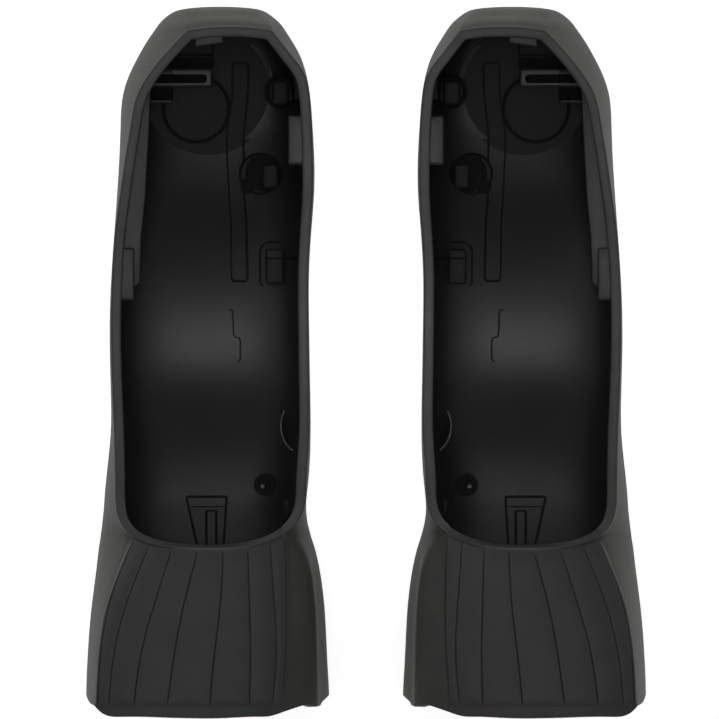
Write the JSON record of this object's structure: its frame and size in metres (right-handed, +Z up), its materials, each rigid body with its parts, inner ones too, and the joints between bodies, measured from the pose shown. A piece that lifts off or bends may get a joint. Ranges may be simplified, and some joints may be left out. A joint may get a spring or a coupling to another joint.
{
  "type": "pair of brake lever hood covers",
  "caption": "Mirrored pair of soft rubber hood covers for bicycle brake and shift levers, with long lever openings, press pads, inner pegs and fluted handlebar skirts.",
  "frame": {"origin": "middle of the pair's footprint, on the surface that the palm sides rest on", "axes": "+X from the left cover to the right cover, +Y towards the horns, +Z up out of the lever openings"},
  "size_m": [0.107, 0.1358, 0.0491],
  "materials": {
    "hood_rubber": "fine matt grain outside, smooth satin inside",
    "pad_rubber": "smooth satin"
  },
  "bodies": {
    "left_cover": {"left_hood": "hood_rubber"},
    "right_cover": {"right_hood": "hood_rubber"},
    "left_pad": {"left_button_pad": "pad_rubber"},
    "right_pad": {"right_button_pad": "pad_rubber"}
  },
  "joints": [
    {"name": "right_cover_lift", "type": "slide", "parent": "left_cover", "child": "right_cover", "axis": [0, 0, 1], "range_m": [0, 0.08]},
    {"name": "left_pad_press", "type": "slide", "parent": "left_cover", "child": "left_pad", "axis": [0, 0, 1], "range_m": [0, 0.0008], "stiffness_N_per_m": 600},
    {"name": "right_pad_press", "type": "slide", "parent": "right_cover", "child": "right_pad", "axis": [0, 0, 1], "range_m": [0, 0.0008], "stiffness_N_per_m": 600}
  ]
}
